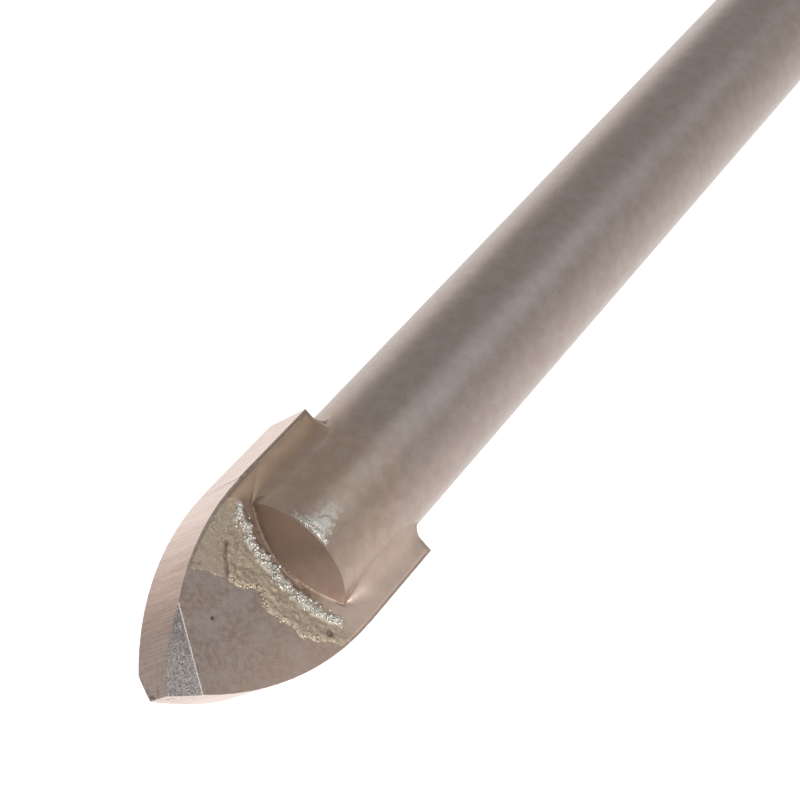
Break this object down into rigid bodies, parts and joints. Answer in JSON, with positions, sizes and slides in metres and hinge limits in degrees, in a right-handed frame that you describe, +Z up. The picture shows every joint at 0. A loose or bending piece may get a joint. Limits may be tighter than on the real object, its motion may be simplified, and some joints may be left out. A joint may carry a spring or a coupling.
{
  "type": "glass and tile drill bit",
  "caption": "Spear-point drill bit: a round steel shank with a flat carbide plate, ogive-ground and web-thinned, brazed edge-on into its slotted end.",
  "frame": {"origin": "on the floor, on the bit's axis, at the rear end of the shank", "axes": "+Z up along the bit towards its point, +X across the width of the plate, -Y out of the face that the picture shows"},
  "size_m": [0.0066, 0.005, 0.08],
  "materials": {
    "shank_steel": "fine turned steel with a warm heat tint near the braze",
    "carbide": "sintered tungsten carbide, matt face and ground flanks",
    "braze": "rough solidified braze, olive tan with bright beads"
  },
  "bodies": {
    "root": {"shank": "shank_steel", "carbide_tip": "carbide", "braze": "braze"}
  },
  "joints": []
}
